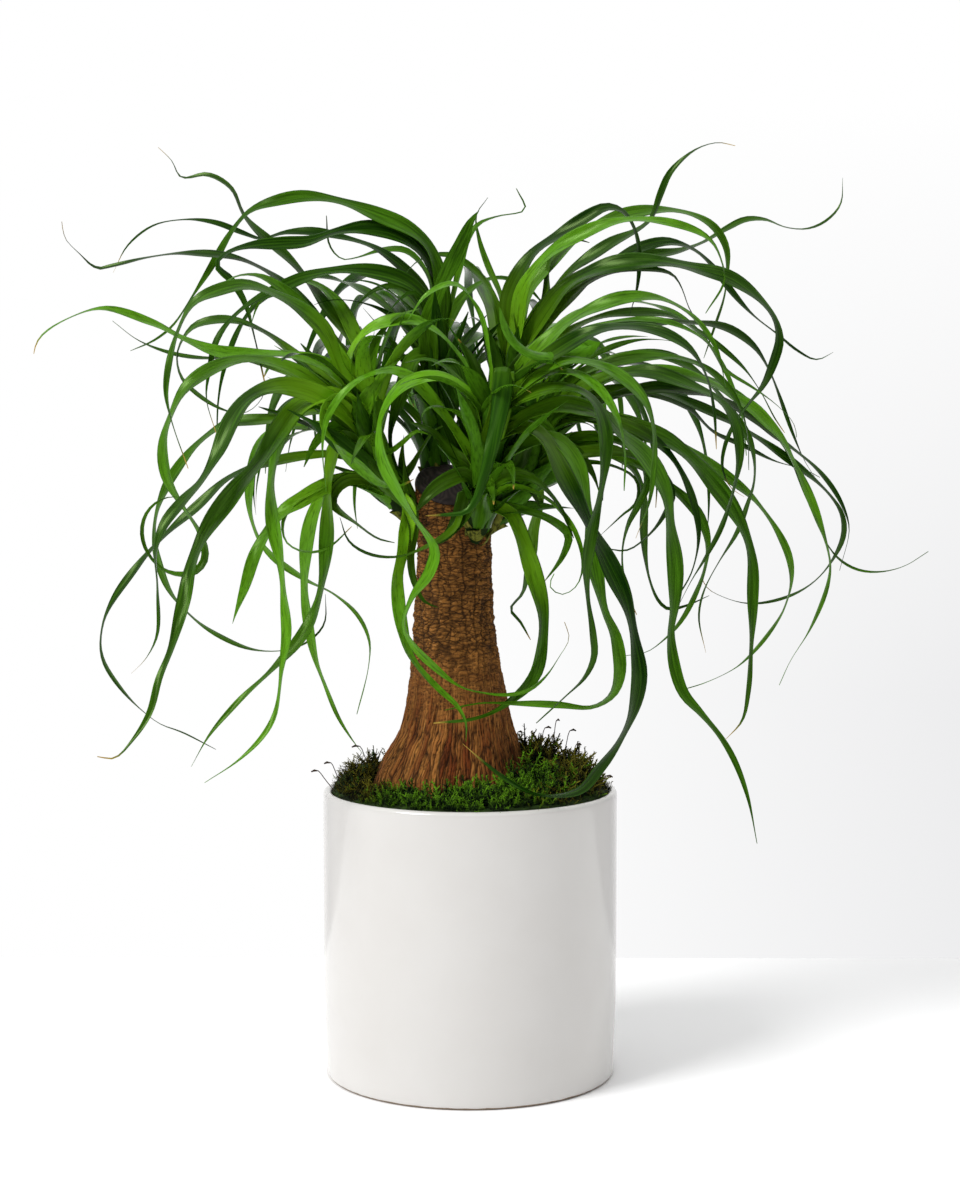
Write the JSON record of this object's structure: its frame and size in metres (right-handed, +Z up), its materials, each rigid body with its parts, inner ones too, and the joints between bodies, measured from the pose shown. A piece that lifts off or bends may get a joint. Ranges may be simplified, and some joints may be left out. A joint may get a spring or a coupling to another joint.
{
  "type": "potted ponytail palm",
  "caption": "Potted ponytail palm: a flared corky trunk with a sealed cut, heads of long arching strap leaves, moss and a plain white cylinder pot.",
  "frame": {"origin": "middle of the pot's flat underside, on the pot's axis", "axes": "+Z up along the pot's axis; -Y is the front, where the cut on the trunk faces; +X is to the right seen from the front"},
  "size_m": [0.6106, 0.4459, 0.6349],
  "materials": {
    "glazed_ceramic": "white gloss glaze, unglazed line at the foot",
    "soil": "dark potting soil",
    "moss": "living moss, bright tufts among olive and brown ones",
    "bark": "corky brown bark with upright fissures and ring cracks",
    "sealed_cut": "dark sealed cut wood",
    "leaf": "glossy strap leaf, yellow-green at the root and darker towards the tip"
  },
  "bodies": {
    "root": {"pot": "glazed_ceramic", "soil": "soil", "moss": "moss", "trunk": "bark", "cut_cap": "sealed_cut", "head_front": "leaf", "head_left": "leaf", "head_right": "leaf", "head_centre": "leaf", "head_back": "leaf"}
  },
  "joints": []
}
